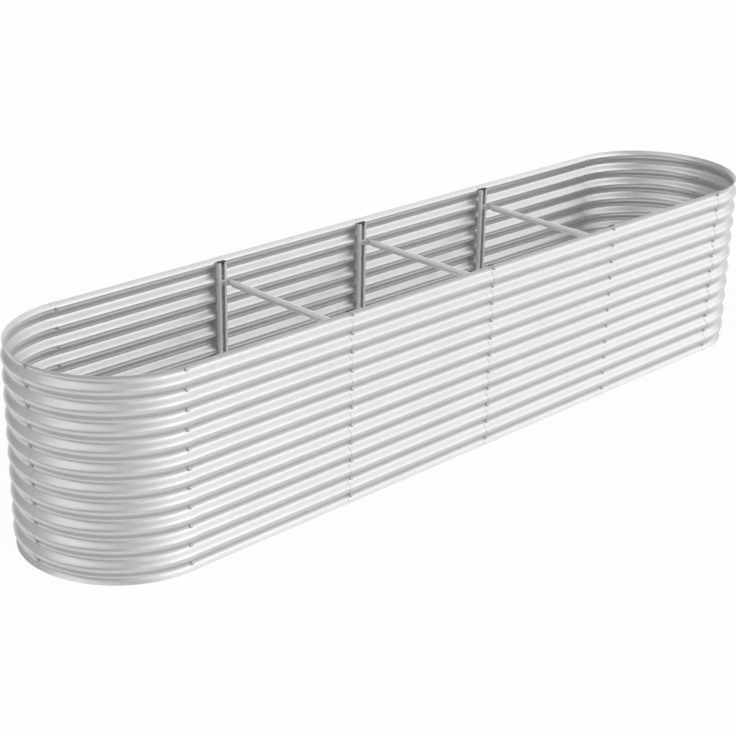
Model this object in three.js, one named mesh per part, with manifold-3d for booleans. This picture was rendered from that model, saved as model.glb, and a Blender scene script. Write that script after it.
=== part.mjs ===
// Raised garden bed: a long oval wall of corrugated galvanised sheet, open above and below.
//
// The wall is made of sheets that lap at upright seams: a quarter-round corner panel at each of
// the four corners, and straight side panels between them. A lipped channel post stands behind
// each seam between two side panels, with a plastic plug in its top. A tube brace joins each
// facing pair of posts, held at both ends by one bolt through the two lapped sheets, the post and
// the brace's flattened foot.
//
// Millimetres. +X runs along the bed, +Y across it to the far side and +Z up. The origin is on
// the ground, under the middle of the bed.

import * as THREE from "three";
import { mergeVertices } from "three/addons/utils/BufferGeometryUtils.js";
import Module from "manifold-3d";

// ---- Driving dimensions -----------------------------------------------------------------------

// The wall in plan and in height
const bedHeight = 610;
const endRadius = 305; // of the round ends, at the middle of the corrugation
const seamSpacing = 600; // along the straight sides
const panelsPerSide = 4; // side panels on each long side

// The corrugated sheet
const sheetThickness = 0.8; // measured square to the wall in plan, so that lapped sheets nest
const waveDepth = 17; // from valley to crest
const valleyCount = 11; // valleys from ground to rim
const edgeMargin = 17.5; // from the rim, and from the ground, to the nearest valley
const lapWidth = 25; // how far two sheets overlap at a seam
const lapGap = 0.4; // between the two sheets of a seam

// The posts: channel with lips, its web against the wall and its slot facing into the bed
const postWidth = 32;
const postDepth = 15;
const postLip = 9.5; // width of each lip, from the outside of the channel to its edge
const postSteel = 1.5;
const postBend = 1.5; // inside radius of the channel's bends
const postSetback = 11; // from the rim down to the post's top, and from the ground to its foot

// The plugs: a head on the post's cut edge, with a tongue that hangs behind the lips, clear of
// the seam's top bolt, and a key that fills the slot between them
const plugHead = 1.2; // thickness of the head
const plugTongue = 3; // thickness of the tongue
const plugDepth = 5; // of the tongue and the key, below the post's top

// The braces: round tube, pressed flat at both ends, trimmed and bent there into a foot
const braceValley = 2; // the valley that the braces lie at, counted from the rim
const tubeDiameter = 22;
const tubeWall = 1.2;
const tubeOffset = 14; // along the bed, from the bolt to the tube's axis
const footHeight = 18; // of the flattened end, trimmed narrower than half the tube's girth
const footReach = 12; // from the bolt to the foot's rounded tip
const footBend = 5; // radius of the bend, at the middle of the flattened tube
const pressedLength = 5; // flat stretch of the tube past the bend
const taperLength = 26; // over which the tube grows from flat to round

// The bolts and nuts that hold the braces
const boltDiameter = 6;
const headDiameter = 10.5;
const headHeight = 3.5;
const headRim = 0.8; // height of the straight edge under the head's dome
const nutSides = 6;
const nutAcrossFlats = 10;
const nutHeight = 5;
const threadBeyondNut = 2;

// Running fits
const seatGap = 0.3; // between two pieces that bear on each other
const boltClearance = 0.3; // around a bolt's shank, in its holes and in its nut

// How finely round forms are divided
const stripsPerWave = 6; // flat strips to each wave of the sheet
const bendsPerCorner = 5; // bends between the flats of each round corner
const tubeSides = 10;
const boltSides = 8;
const bendSteps = 2;
const taperSteps = 2;
const domeSteps = 2;
const tipSteps = 4; // round the tip of a brace's foot
const channelBendSteps = 1;

// ---- Sizes that follow ------------------------------------------------------------------------

const wavePitch = (bedHeight - 2 * edgeMargin) / (valleyCount - 1);
const sideLength = panelsPerSide * seamSpacing;
const facetTurn = Math.PI / 2 / bendsPerCorner;
const lapOffset = (sheetThickness + lapGap) / 2; // of each sheet of a seam, out or in

// Distances from the bed's long middle plane, from the wall inwards
const valleyPlane = endRadius - waveDepth / 2;
const valleyOutside = valleyPlane + lapOffset + sheetThickness / 2;
const valleyInside = valleyPlane - lapOffset - sheetThickness / 2;
const webPlane = valleyInside - seatGap;
const lipPlane = webPlane - postDepth;
const footPlane = lipPlane - seatGap;
const footThickness = 2 * tubeWall;
const nutPlane = footPlane - footThickness - seatGap;
const boltEndPlane = nutPlane - nutHeight - threadBeyondNut;

const braceHeight = bedHeight - edgeMargin - (braceValley - 1) * wavePitch;
const headSeatPlane = valleyOutside + stripRise(headDiameter / 2) + seatGap;

// ---- Finishes ---------------------------------------------------------------------------------

const galvanisedSheet = { color: 0xd6dadb, roughness: 0.38, metalness: 0.9, flatShading: true };
const galvanisedPost = { color: 0x9a9fa2, roughness: 0.45, metalness: 0.9, flatShading: true };
const galvanisedTube = { color: 0xc3c7c8, roughness: 0.4, metalness: 0.9, flatShading: true };
const platedSteel = { color: 0xb4b7b9, roughness: 0.3, metalness: 0.95, flatShading: true };
const blackPlastic = { color: 0x1b1c1d, roughness: 0.5, metalness: 0, flatShading: true };

// ---- Booleans ---------------------------------------------------------------------------------

const mergeDistance = 1e-4;
const wasm = await Module();
wasm.setup();

// A closed three.js geometry as a solid that can be cut.
function toSolid(geometry) {
  const bare = geometry.clone();
  bare.deleteAttribute("normal");
  bare.deleteAttribute("uv");
  const merged = mergeVertices(bare, mergeDistance);
  const mesh = new wasm.Mesh({
    numProp: 3,
    vertProperties: merged.attributes.position.array,
    triVerts: new Uint32Array(merged.index.array),
  });
  return new wasm.Manifold(mesh);
}

// The solid back as a three.js geometry.
function toGeometry(solid) {
  const mesh = solid.getMesh();
  const geometry = new THREE.BufferGeometry();
  geometry.setAttribute("position", new THREE.BufferAttribute(mesh.vertProperties, mesh.numProp));
  geometry.setIndex(new THREE.BufferAttribute(mesh.triVerts, 1));
  geometry.computeVertexNormals();
  return geometry;
}

// A drill for a bolt hole across the bed, through the point (x, y, z).
function boltDrill(x, y, z) {
  const apothem = boltDiameter / 2 + boltClearance;
  const radius = apothem / Math.cos(Math.PI / boltSides);
  const length = 2 * postDepth;
  const drill = new THREE.CylinderGeometry(radius, radius, length, boltSides);
  drill.translate(x, y, z);
  return toSolid(drill);
}

// ---- The wall's form --------------------------------------------------------------------------

// How far the middle of the sheet stands out from its mean line at height z.
function waveAt(z) {
  return (-waveDepth / 2) * Math.cos((2 * Math.PI * (z - edgeMargin)) / wavePitch);
}

// How far the sheet's flat strip has risen from a valley at a distance up or down from it.
function stripRise(distance) {
  const strip = wavePitch / stripsPerWave;
  const slope = (waveAt(edgeMargin + strip) - waveAt(edgeMargin)) / strip;
  return slope * distance;
}

// Heights at which the wall's strips meet: its two cut edges, and equal steps from valley to
// valley, carried on above and below as far as they fit.
function stripHeights() {
  const strip = wavePitch / stripsPerWave;
  const beyond = Math.ceil(edgeMargin / strip) - 1;
  const last = (valleyCount - 1) * stripsPerWave + beyond;
  const heights = [0];
  for (let step = -beyond; step <= last; step += 1) {
    heights.push(edgeMargin + step * strip);
  }
  heights.push(bedHeight);
  return heights;
}

// A station on a flat of the wall's mean line in plan: a point, and the way out from it. The
// flat touches a circle of endRadius about (centreX, 0) where the way out has turned by an
// angle from +X, and the station lies beyond that touch by a distance along the wall.
function flatStation(centreX, turn, beyond) {
  const outward = new THREE.Vector2(Math.cos(turn), Math.sin(turn));
  const point = new THREE.Vector2(centreX, 0).addScaledVector(outward, endRadius);
  point.add(new THREE.Vector2(-outward.y, outward.x).multiplyScalar(beyond));
  return { point, outward };
}

// A station where two flats of a round end meet. The way out is lengthened so that a sheet set
// out by any distance stays parallel to both flats.
function bendStation(centreX, turn) {
  const outward = new THREE.Vector2(Math.cos(turn), Math.sin(turn));
  outward.divideScalar(Math.cos(facetTurn / 2));
  const point = new THREE.Vector2(centreX, 0).addScaledVector(outward, endRadius);
  return { point, outward };
}

// The wall along a row of stations: a closed shell of outer and inner faces, two upright ends,
// a rim and a foot. The sheet lies startOffset out from the mean line at its first station and
// endOffset at its last.
function sweepSheet(stations, startOffset, endOffset) {
  const heights = stripHeights();
  const lastStation = stations.length - 1;
  const lastRow = heights.length - 1;
  const positions = [];
  stations.forEach(({ point, outward }, index) => {
    const offset = THREE.MathUtils.lerp(startOffset, endOffset, index / lastStation);
    for (const face of [-1, 1]) {
      for (const z of heights) {
        const out = offset + waveAt(z) + (face * sheetThickness) / 2;
        positions.push(point.x + outward.x * out, point.y + outward.y * out, z);
      }
    }
  });

  const indices = [];
  const vertex = (station, face, row) => (station * 2 + face) * heights.length + row;
  const quad = (a, b, c, d) => indices.push(a, b, c, a, c, d);
  for (let i = 0; i < lastStation; i += 1) {
    for (let j = 0; j < lastRow; j += 1) {
      quad(vertex(i, 1, j), vertex(i + 1, 1, j), vertex(i + 1, 1, j + 1), vertex(i, 1, j + 1));
      quad(vertex(i, 0, j), vertex(i, 0, j + 1), vertex(i + 1, 0, j + 1), vertex(i + 1, 0, j));
    }
    quad(vertex(i, 0, 0), vertex(i + 1, 0, 0), vertex(i + 1, 1, 0), vertex(i, 1, 0));
    quad(vertex(i, 0, lastRow), vertex(i, 1, lastRow), vertex(i + 1, 1, lastRow),
      vertex(i + 1, 0, lastRow));
  }
  for (let j = 0; j < lastRow; j += 1) {
    quad(vertex(0, 0, j), vertex(0, 1, j), vertex(0, 1, j + 1), vertex(0, 0, j + 1));
    quad(vertex(lastStation, 0, j), vertex(lastStation, 0, j + 1),
      vertex(lastStation, 1, j + 1), vertex(lastStation, 1, j));
  }

  const geometry = new THREE.BufferGeometry();
  geometry.setAttribute("position", new THREE.Float32BufferAttribute(positions, 3));
  geometry.setIndex(indices);
  return geometry;
}

// ---- Panels -----------------------------------------------------------------------------------

// The near half of the wall runs from the middle of the -X end, round the first corner, along
// the near side and round the second corner to the middle of the +X end. Its seams are counted
// in that order from 0, at the end's middle. The far half is the same, turned half round.

const lastCorner = panelsPerSide + 1; // the seam where the second corner panel begins

function seamX(seam) {
  return (seam - 1) * seamSpacing - sideLength / 2;
}

function hasPost(seam) {
  return seam > 1 && seam < lastCorner;
}

// Whether the later of the two sheets at a seam lies outside. The corner panels lie outside the
// side panels, and the laps along a side change over past its middle.
function laterSheetOutside(seam) {
  if (hasPost(seam)) return seam - 1 <= panelsPerSide / 2;
  return seam === lastCorner;
}

// Stations round a corner panel that starts on a flat facing the given way.
function cornerStations(centreX, startTurn) {
  const stations = [flatStation(centreX, startTurn, -lapWidth / 2)];
  for (let bend = 0; bend < bendsPerCorner; bend += 1) {
    stations.push(bendStation(centreX, startTurn + (bend + 1 / 2) * facetTurn));
  }
  stations.push(flatStation(centreX, startTurn + Math.PI / 2, lapWidth / 2));
  return stations;
}

// Stations along a side panel: its two upright edges.
function sideStations(seam) {
  const facingNear = (3 * Math.PI) / 2;
  return [
    flatStation(seamX(seam), facingNear, -lapWidth / 2),
    flatStation(seamX(seam + 1), facingNear, lapWidth / 2),
  ];
}

// The near half's panel that begins at a seam, with a bolt hole at each post.
function panelGeometry(seam) {
  let stations = sideStations(seam);
  if (seam === 0) stations = cornerStations(-sideLength / 2, Math.PI);
  if (seam === lastCorner) stations = cornerStations(sideLength / 2, (3 * Math.PI) / 2);
  const nextSeam = (seam + 1) % (lastCorner + 1);
  const startOffset = laterSheetOutside(seam) ? lapOffset : -lapOffset;
  const endOffset = laterSheetOutside(nextSeam) ? -lapOffset : lapOffset;
  let solid = toSolid(sweepSheet(stations, startOffset, endOffset));
  for (const end of [seam, nextSeam].filter(hasPost)) {
    solid = solid.subtract(boltDrill(seamX(end), -endRadius, braceHeight));
  }
  return toGeometry(solid);
}

function panelName(seam, side) {
  const near = side === "front";
  if (seam === 0) return `corner_panel_${side}_${near ? "left" : "right"}`;
  if (seam === lastCorner) return `corner_panel_${side}_${near ? "right" : "left"}`;
  return `side_panel_${side}_${near ? seam : lastCorner - seam}`;
}

function panels() {
  const group = new THREE.Group();
  for (const side of ["front", "back"]) {
    for (let seam = 0; seam <= lastCorner; seam += 1) {
      const panel = piece(panelName(seam, side), panelGeometry(seam), galvanisedSheet);
      panel.rotation.z = side === "back" ? Math.PI : 0;
      group.add(panel);
    }
  }
  return group;
}

// ---- Posts ------------------------------------------------------------------------------------

// The centres of the channel's four bends in its section, from the left lip round to the right.
// The web lies along y = 0, and the lips at y = postDepth.
function bendCentres() {
  const outerBend = postBend + postSteel;
  const centreX = postWidth / 2 - outerBend;
  return [
    [-centreX, postDepth - outerBend],
    [-centreX, outerBend],
    [centreX, outerBend],
    [centreX, postDepth - outerBend],
  ];
}

// Carries an outline round the channel's four bends, at a radius about their centres.
function followBends(section, radius) {
  const quarter = Math.PI / 2;
  bendCentres().forEach(([x, y], turn) => {
    section.absarc(x, y, radius, quarter * (turn + 1), quarter * (turn + 2), false);
  });
}

// The channel's section, with a slot between its two lips.
function channelSection() {
  const quarter = Math.PI / 2;
  const lipEdge = postWidth / 2 - postLip;
  const section = new THREE.Shape();
  section.moveTo(-lipEdge, postDepth - postSteel);
  section.lineTo(-lipEdge, postDepth);
  followBends(section, postBend + postSteel);
  section.lineTo(lipEdge, postDepth);
  section.lineTo(lipEdge, postDepth - postSteel);
  bendCentres().toReversed().forEach(([x, y], turn) => {
    section.absarc(x, y, postBend, quarter * (5 - turn), quarter * (4 - turn), true);
  });
  section.closePath();
  return section;
}

// A post standing at the origin's height, with its web's outer face in the plane y = 0.
function postGeometry() {
  const length = bedHeight - 2 * postSetback;
  const channel = new THREE.ExtrudeGeometry(channelSection(), {
    depth: length,
    bevelEnabled: false,
    curveSegments: channelBendSteps,
  });
  const drill = boltDrill(0, 0, braceHeight - postSetback);
  return toGeometry(toSolid(channel).subtract(drill));
}

// ---- Post plugs -------------------------------------------------------------------------------

// A solid on a section in the post's plan, from one height to another.
function standOn(section, from, to) {
  const body = new THREE.ExtrudeGeometry(section, {
    depth: to - from,
    bevelEnabled: false,
    curveSegments: channelBendSteps,
  });
  body.translate(0, 0, from);
  return toSolid(body);
}

// A rectangle centred on x = 0.
function centredRectangle(width, near, far) {
  const outline = new THREE.Shape();
  outline.moveTo(-width / 2, near);
  outline.lineTo(width / 2, near);
  outline.lineTo(width / 2, far);
  outline.lineTo(-width / 2, far);
  outline.closePath();
  return outline;
}

// A plug for a post whose top lies at z = 0.
function plugGeometry() {
  const tongueWidth = postWidth - 2 * (postSteel + postBend);
  const tongueFace = postDepth - postSteel - seatGap;
  const keyWidth = postWidth - 2 * (postLip + seatGap);
  const insideHead = seatGap + plugHead / 2;
  const head = new THREE.Shape();
  followBends(head, postBend + postSteel);
  const tongue = centredRectangle(tongueWidth, tongueFace - plugTongue, tongueFace);
  const key = centredRectangle(keyWidth, tongueFace - plugTongue, postDepth);
  return toGeometry(
    standOn(head, seatGap, seatGap + plugHead)
      .add(standOn(tongue, -plugDepth, insideHead))
      .add(standOn(key, -plugDepth, insideHead)),
  );
}

// ---- Braces -----------------------------------------------------------------------------------

// One cross-section of a brace at a point of its path in plan. The girth's points turn from a
// flat strip (round = 0) to the tube's circle (round = 1). The circle's flats touch the real
// diameter.
function girthPoints(point, heading, round) {
  const radius = tubeDiameter / 2 / Math.cos(Math.PI / tubeSides);
  const sideways = new THREE.Vector2(-heading.y, heading.x);
  const foldAngle = Math.PI / 2 - Math.PI / tubeSides;
  const points = [];
  for (let side = 0; side < tubeSides; side += 1) {
    const angle = (2 * Math.PI * (side + 0.5)) / tubeSides;
    const flatOut = (Math.sign(Math.cos(angle)) * footThickness) / 2;
    const flatUp = (Math.asin(Math.sin(angle)) / foldAngle) * (footHeight / 2);
    const out = THREE.MathUtils.lerp(flatOut, radius * Math.cos(angle), round);
    const up = THREE.MathUtils.lerp(flatUp, radius * Math.sin(angle), round);
    points.push(new THREE.Vector3(point.x + sideways.x * out, point.y + sideways.y * out, up));
  }
  return points;
}

// Sections along half of a brace, from the tip of its foot to the middle of the bed. The foot
// lies along X on the near post's lips, and the tube runs along Y.
function braceHalfSections() {
  const footMiddle = -(footPlane - footThickness / 2);
  const sections = [];
  const section = (x, y, headingAngle, round) => {
    const heading = new THREE.Vector2(Math.cos(headingAngle), Math.sin(headingAngle));
    sections.push({ point: new THREE.Vector2(x, y), heading, round });
  };
  section(-footReach, footMiddle, 0, 0);
  const bendX = tubeOffset - footBend;
  const bendY = footMiddle + footBend;
  for (let step = 0; step <= bendSteps; step += 1) {
    const angle = (Math.PI / 2) * (step / bendSteps);
    section(bendX + footBend * Math.sin(angle), bendY - footBend * Math.cos(angle), angle, 0);
  }
  for (let step = 0; step <= taperSteps; step += 1) {
    const share = step / taperSteps;
    const y = bendY + pressedLength + share * taperLength;
    section(tubeOffset, y, Math.PI / 2, THREE.MathUtils.smoothstep(share, 0, 1));
  }
  return sections;
}

// A brace across the bed, centred on the origin, with its bolts' line at x = 0. The tube is
// solid here: its bore is shut off by the pressed ends.
function braceGeometry() {
  const nearHalf = braceHalfSections();
  const farHalf = nearHalf.toReversed().map(({ point, heading, round }) => ({
    point: new THREE.Vector2(point.x, -point.y),
    heading: new THREE.Vector2(-heading.x, heading.y),
    round,
  }));
  const rings = [...nearHalf, ...farHalf].map(({ point, heading, round }) =>
    girthPoints(point, heading, round));
  const bar = toSolid(joinRings(rings));
  const tips = toSolid(footOutline());
  const nearHole = boltDrill(0, -footPlane, 0);
  const farHole = boltDrill(0, footPlane, 0);
  return toGeometry(bar.intersect(tips).subtract(nearHole).subtract(farHole));
}

// A closed body through rings of equally many points.
function joinRings(rings) {
  const sides = rings[0].length;
  const indices = [];
  for (let ring = 0; ring + 1 < rings.length; ring += 1) {
    for (let side = 0; side < sides; side += 1) {
      const next = (side + 1) % sides;
      const a = ring * sides + side;
      const b = ring * sides + next;
      indices.push(a, b, b + sides, a, b + sides, a + sides);
    }
  }
  const lastRing = (rings.length - 1) * sides;
  for (let side = 1; side + 1 < sides; side += 1) {
    indices.push(0, side + 1, side);
    indices.push(lastRing, lastRing + side, lastRing + side + 1);
  }
  const geometry = new THREE.BufferGeometry().setFromPoints(rings.flat());
  geometry.setIndex(indices);
  return geometry;
}

// Everything that a brace may fill when seen along the tube: a round nose, which rounds the tips
// of both feet, widening to clear the tube.
function footOutline() {
  const tipRadius = footHeight / 2;
  const tipCentre = tipRadius - footReach;
  const farEdge = tubeOffset + tubeDiameter;
  const outline = new THREE.Shape();
  outline.moveTo(farEdge, tubeDiameter);
  outline.lineTo(tubeOffset, tubeDiameter);
  outline.lineTo(tipCentre, tipRadius);
  outline.absarc(tipCentre, 0, tipRadius, Math.PI / 2, (3 * Math.PI) / 2, false);
  outline.lineTo(tubeOffset, -tubeDiameter);
  outline.lineTo(farEdge, -tubeDiameter);
  outline.closePath();
  const depth = 2 * endRadius;
  const bar = new THREE.ExtrudeGeometry(outline, {
    depth,
    bevelEnabled: false,
    curveSegments: tipSteps,
  });
  bar.translate(0, 0, -depth / 2);
  bar.rotateX(Math.PI / 2);
  return bar;
}

// ---- Bolts and nuts ---------------------------------------------------------------------------

// A dome-headed bolt that points along +Y, with the underside of its head in the plane y = 0.
function boltGeometry() {
  const headRadius = headDiameter / 2;
  const shankRadius = boltDiameter / 2;
  const length = headSeatPlane - boltEndPlane;
  const profile = [new THREE.Vector2(0, -headHeight)];
  for (let step = 1; step <= domeSteps; step += 1) {
    const angle = (Math.PI / 2) * (step / domeSteps);
    const dome = (headHeight - headRim) * Math.cos(angle);
    profile.push(new THREE.Vector2(headRadius * Math.sin(angle), -headRim - dome));
  }
  profile.push(new THREE.Vector2(headRadius, 0));
  profile.push(new THREE.Vector2(shankRadius, 0));
  profile.push(new THREE.Vector2(shankRadius, length));
  profile.push(new THREE.Vector2(0, length));
  return new THREE.LatheGeometry(profile, boltSides);
}

// A nut along Y, with its outer face in the plane y = 0 and its body at y > 0.
function nutGeometry() {
  const cornerRadius = nutAcrossFlats / 2 / Math.cos(Math.PI / nutSides);
  const bodyShape = new THREE.Shape();
  for (let corner = 0; corner < nutSides; corner += 1) {
    const angle = (2 * Math.PI * corner) / nutSides;
    const x = cornerRadius * Math.cos(angle);
    const y = cornerRadius * Math.sin(angle);
    if (corner === 0) bodyShape.moveTo(x, y);
    else bodyShape.lineTo(x, y);
  }
  bodyShape.closePath();
  const body = new THREE.ExtrudeGeometry(bodyShape, { depth: nutHeight, bevelEnabled: false });
  body.rotateX(-Math.PI / 2);
  return toGeometry(toSolid(body).subtract(boltDrill(0, 0, 0)));
}

// ---- Assembly ---------------------------------------------------------------------------------

function piece(name, geometry, finish) {
  const mesh = new THREE.Mesh(geometry, new THREE.MeshStandardMaterial(finish));
  mesh.name = name;
  return mesh;
}

// A piece of the near side set at a distance from the bed's middle plane, or turned half round
// to the same place on the far side.
function placeAtSide(mesh, side, x, distance, z) {
  const far = side === "back";
  mesh.position.set(x, far ? distance : -distance, z);
  mesh.rotation.z = far ? Math.PI : 0;
  return mesh;
}

// The posts, plugs, bolts and nuts at each seam between side panels, and the brace between them.
function frame() {
  const group = new THREE.Group();
  for (let number = 1; number < panelsPerSide; number += 1) {
    const x = seamX(number + 1);
    for (const side of ["front", "back"]) {
      const label = `${side}_${number}`;
      const post = piece(`post_${label}`, postGeometry(), galvanisedPost);
      const plug = piece(`post_plug_${label}`, plugGeometry(), blackPlastic);
      const bolt = piece(`brace_bolt_${label}`, boltGeometry(), platedSteel);
      const nut = piece(`brace_nut_${label}`, nutGeometry(), platedSteel);
      group.add(placeAtSide(post, side, x, webPlane, postSetback));
      group.add(placeAtSide(plug, side, x, webPlane, bedHeight - postSetback));
      group.add(placeAtSide(bolt, side, x, headSeatPlane, braceHeight));
      group.add(placeAtSide(nut, side, x, nutPlane, braceHeight));
    }
    const brace = piece(`cross_brace_${number}`, braceGeometry(), galvanisedTube);
    brace.position.set(x, 0, braceHeight);
    group.add(brace);
  }
  return group;
}

const gardenBed = new THREE.Group();
gardenBed.add(panels());
gardenBed.add(frame());

export default gardenBed;
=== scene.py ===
"""The looks of a raised garden bed: a long oval wall of bolted corrugated galvanised sheets.

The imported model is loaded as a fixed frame, in metres, with +X along the bed, +Y across it to the
far side and +Z up. Every sheet, post, brace, bolt and nut is modelled again here with its true
smooth form, in the place of its node, and is given its own metal finish. The short bolts and nuts
of the seams have no node, so they are made here alone.

The bed's near half is modelled from the middle of its left end, round the first corner, along the
near side and round the second corner to the middle of its right end. Its seams are counted in
that order from 0, at the left end's middle. The far half is the near half turned half round.
"""

from __future__ import annotations

import logging
import math
from collections.abc import Callable, Iterator, Mapping, Sequence
from contextlib import contextmanager
from dataclasses import dataclass, field
from enum import Enum
from itertools import pairwise

import bmesh
import bpy
from mathutils import Matrix, Vector

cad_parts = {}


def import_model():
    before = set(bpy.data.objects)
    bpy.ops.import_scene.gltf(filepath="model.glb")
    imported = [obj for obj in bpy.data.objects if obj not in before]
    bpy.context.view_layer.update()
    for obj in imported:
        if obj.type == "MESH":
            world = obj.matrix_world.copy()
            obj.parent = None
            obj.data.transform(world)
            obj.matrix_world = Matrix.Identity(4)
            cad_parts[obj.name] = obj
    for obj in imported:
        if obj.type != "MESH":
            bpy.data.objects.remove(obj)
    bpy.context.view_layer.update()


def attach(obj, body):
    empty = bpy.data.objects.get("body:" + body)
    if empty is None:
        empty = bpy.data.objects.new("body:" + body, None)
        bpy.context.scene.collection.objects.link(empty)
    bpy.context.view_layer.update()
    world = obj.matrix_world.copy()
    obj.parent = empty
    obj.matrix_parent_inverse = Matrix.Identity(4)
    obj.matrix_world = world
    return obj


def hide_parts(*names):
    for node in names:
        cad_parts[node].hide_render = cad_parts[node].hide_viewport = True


LOG = logging.getLogger("garden_bed")

MM = 0.001
BODY = "root"
UP = Vector((0.0, 0.0, 1.0))
ALONG = Vector((1.0, 0.0, 0.0))
INWARD = Vector((0.0, 1.0, 0.0))  # from the near wall into the bed
HALF_TURN = Matrix.Rotation(math.pi, 4, "Z")
SAME_PLACE = 0.01 * MM
HEIGHT_DIGITS = 7  # decimals of a metre within which two heights are one
CREASE_ANGLE = math.radians(35.0)
FLAT_SHARE = math.cos(math.pi / 6.0)  # a hexagon's width across flats over that across corners
TIGHTENING_TURN = math.radians(37.0)  # each next bolt stopped this much further round

PlaceTest = Callable[[Vector], bool]
EdgeTest = Callable[[bmesh.types.BMEdge], bool]


class Slot(Enum):
    """The record's material slots."""

    SHEET = "galvanised_sheet"
    POST = "galvanised_post"
    TUBE = "galvanised_tube"
    FASTENER = "plated_steel"
    PLUG = "black_plastic"


class Side(Enum):
    """The bed's two long sides."""

    FRONT = "front"
    BACK = "back"

    @property
    def turn(self) -> Matrix:
        """The turn that takes a piece of the near half to this side."""
        return HALF_TURN if self is Side.BACK else Matrix.Identity(4)


# ---- Modelling by hand -------------------------------------------------------------------------


def activate(piece: bpy.types.Object) -> None:
    """Makes a piece the selected and active one.

    Args:
        piece: the object.
    """
    bpy.ops.object.select_all(action="DESELECT")
    piece.select_set(True)
    bpy.context.view_layer.objects.active = piece


def primitive(name: str, add: Callable[..., object], **settings: float) -> bpy.types.Object:
    """Adds one of Blender's own simple meshes.

    Args:
        name: the object's name.
        add: the operator that adds it.
        settings: the operator's settings.

    Returns:
        The new object.
    """
    bpy.ops.object.select_all(action="DESELECT")
    add(**settings)
    piece = bpy.context.object
    piece.name = name
    return piece


@contextmanager
def editing(piece: bpy.types.Object) -> Iterator[None]:
    """Opens one piece in edit mode with nothing selected, and closes it again.

    Args:
        piece: the mesh object to edit.
    """
    activate(piece)
    bpy.ops.object.mode_set(mode="EDIT")
    bpy.ops.mesh.select_mode(type="VERT")
    bpy.ops.mesh.select_all(action="DESELECT")
    yield
    bpy.ops.object.mode_set(mode="OBJECT")


def pick(piece: bpy.types.Object, test: PlaceTest) -> None:
    """Selects the points of the piece in edit mode that pass a test, and the faces between them.

    Args:
        piece: the mesh object in edit mode.
        test: says of a point's place whether it is wanted.
    """
    mesh = bmesh.from_edit_mesh(piece.data)
    for point in mesh.verts:
        point.select_set(test(point.co))
    mesh.select_flush(False)
    mesh.select_flush(True)
    bmesh.update_edit_mesh(piece.data)


def pick_edges(piece: bpy.types.Object, test: EdgeTest) -> None:
    """Selects the edges of the piece in edit mode that pass a test.

    Args:
        piece: the mesh object in edit mode.
        test: says of an edge whether it is wanted.
    """
    bpy.ops.mesh.select_mode(type="EDGE")
    mesh = bmesh.from_edit_mesh(piece.data)
    for edge in mesh.edges:
        edge.select_set(test(edge))
    bmesh.update_edit_mesh(piece.data)


def is_upright(edge: bmesh.types.BMEdge) -> bool:
    """Whether an edge joins two heights."""
    start, end = (point.co for point in edge.verts)
    return abs(start.z - end.z) > SAME_PLACE


def extrude(step: Vector) -> None:
    """Extrudes what is selected by one step.

    Args:
        step: how far the new points move.
    """
    bpy.ops.mesh.extrude_region_move(TRANSFORM_OT_translate={"value": step})


def stretch(factors: Sequence[float], centre: Vector) -> None:
    """Scales what is selected about a point.

    Args:
        factors: the scale along X, Y and Z.
        centre: the point that stays.
    """
    bpy.ops.transform.resize(value=tuple(factors), center_override=tuple(centre))


def single_point(name: str, place: Vector) -> bpy.types.Object:
    """A mesh of one point: a corner of a plane whose other corners are deleted.

    Args:
        name: the object's name.
        place: where the point goes.

    Returns:
        The new object, at the origin.
    """
    piece = primitive(name, bpy.ops.mesh.primitive_plane_add, size=1.0)
    with editing(piece):
        pick(piece, lambda at: not (at.x > 0.0 and at.y > 0.0))
        bpy.ops.mesh.delete(type="VERT")
        bpy.ops.mesh.select_all(action="SELECT")
        corner = bmesh.from_edit_mesh(piece.data).verts[:][0].co.copy()
        bpy.ops.transform.translate(value=place - corner)
    return piece


def apply_modifier(piece: bpy.types.Object, kind: str, settings: Mapping[str, object]) -> None:
    """Adds a modifier to a piece and applies it.

    Args:
        piece: the mesh object.
        kind: the modifier's type.
        settings: its properties and their values.
    """
    modifier = piece.modifiers.new(kind.title(), kind)
    for key, value in settings.items():
        setattr(modifier, key, value)
    activate(piece)
    bpy.ops.object.modifier_apply(modifier=modifier.name)


def thicken(piece: bpy.types.Object, thickness: float) -> None:
    """Turns a sheet's faces outwards and gives it a thickness, half to each side.

    Args:
        piece: the sheet, in object mode.
        thickness: metres.
    """
    settle_normals(piece)
    settings = {"thickness": thickness, "offset": 0.0, "use_even_offset": True}
    apply_modifier(piece, "SOLIDIFY", settings)


def settle_normals(piece: bpy.types.Object) -> None:
    """Merges a piece's double points and turns its faces to point outwards.

    Args:
        piece: the mesh object, in object mode.
    """
    with editing(piece):
        bpy.ops.mesh.select_all(action="SELECT")
        bpy.ops.mesh.remove_doubles(threshold=SAME_PLACE)
        bpy.ops.mesh.normals_make_consistent(inside=False)


def smooth(piece: bpy.types.Object) -> None:
    """Shades a piece smooth, apart from its edges sharper than the crease angle.

    Args:
        piece: the mesh object.
    """
    activate(piece)
    bpy.ops.object.shade_smooth_by_angle(angle=CREASE_ANGLE)


def place(piece: bpy.types.Object, matrix: Matrix) -> bpy.types.Object:
    """Moves a piece's mesh, and leaves its object at the origin.

    Args:
        piece: the mesh object.
        matrix: where the mesh goes.

    Returns:
        The same object.
    """
    piece.data.transform(matrix)
    piece.data.update()
    return piece


def copied(piece: bpy.types.Object, name: str, matrix: Matrix) -> bpy.types.Object:
    """A copy of a piece with a mesh of its own.

    Args:
        piece: the mesh object to copy.
        name: the copy's name.
        matrix: where the copy's mesh goes.

    Returns:
        The copy.
    """
    twin = bpy.data.objects.new(name, piece.data.copy())
    twin.data.name = name
    bpy.context.scene.collection.objects.link(twin)
    return place(twin, matrix)


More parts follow.
